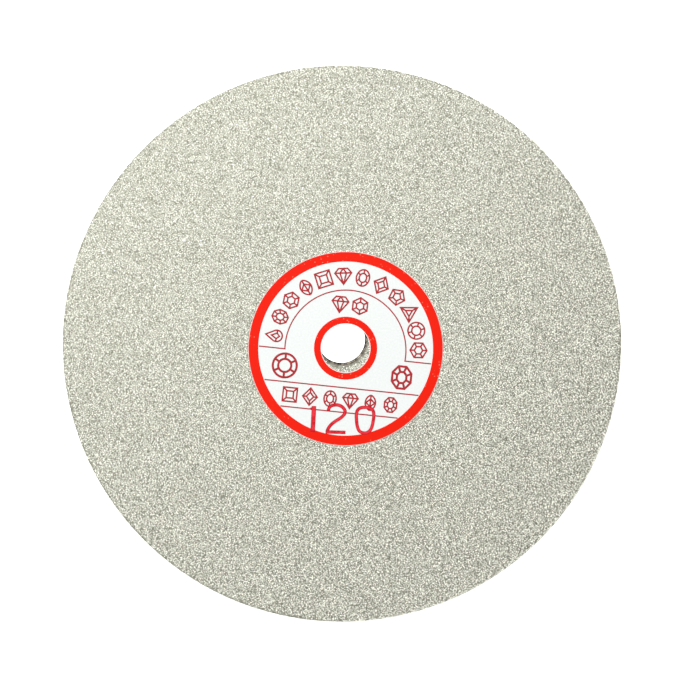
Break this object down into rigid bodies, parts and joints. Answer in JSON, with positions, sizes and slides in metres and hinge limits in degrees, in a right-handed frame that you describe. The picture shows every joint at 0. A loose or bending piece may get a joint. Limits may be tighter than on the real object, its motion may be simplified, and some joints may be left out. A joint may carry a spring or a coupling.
{
  "type": "diamond grinding disc",
  "caption": "Flat steel lap disc plated with a nickel-held layer of diamond grit, with a centre hole and a round paper label, for grinding gems and stones.",
  "frame": {"origin": "on the centre hole's axis, at the steel back face that rests on the machine's platen", "axes": "+Z along the hole's axis, out of the grit face; +Y towards the top of the disc as its label is read, before the label's 6 degree turn; +X to its right"},
  "size_m": [0.15, 0.15, 0.0015],
  "materials": {
    "steel": "ground bare steel, dark and rounded at the hole's edge",
    "nickel_strike": "thin satin nickel plating",
    "nickel_bond": "matt electroplated nickel",
    "diamond_grit": "single layer of 120 grit diamond, cream and olive grey, glinting",
    "adhesive": "pressure sensitive glue film",
    "paper": "white coated label paper",
    "red_ring_ink": "bright orange-red printing ink",
    "red_line_ink": "dark red printing ink",
    "stamp_ink": "thin crimson stamp ink, uneven"
  },
  "bodies": {
    "root": {"steel_core": "steel", "nickel_strike": "nickel_strike", "nickel_bond": "nickel_bond", "diamond_grit": "diamond_grit", "label_adhesive": "adhesive", "label_paper": "paper", "label_border_ring": "red_ring_ink", "label_bore_ring": "red_ring_ink", "label_arc_rule": "red_line_ink", "label_straight_rules": "red_line_ink", "label_arc_marks": "red_line_ink", "label_pair_marks": "red_line_ink", "label_large_marks": "red_line_ink", "label_row_marks": "red_line_ink", "grit_number": "stamp_ink"}
  },
  "joints": []
}
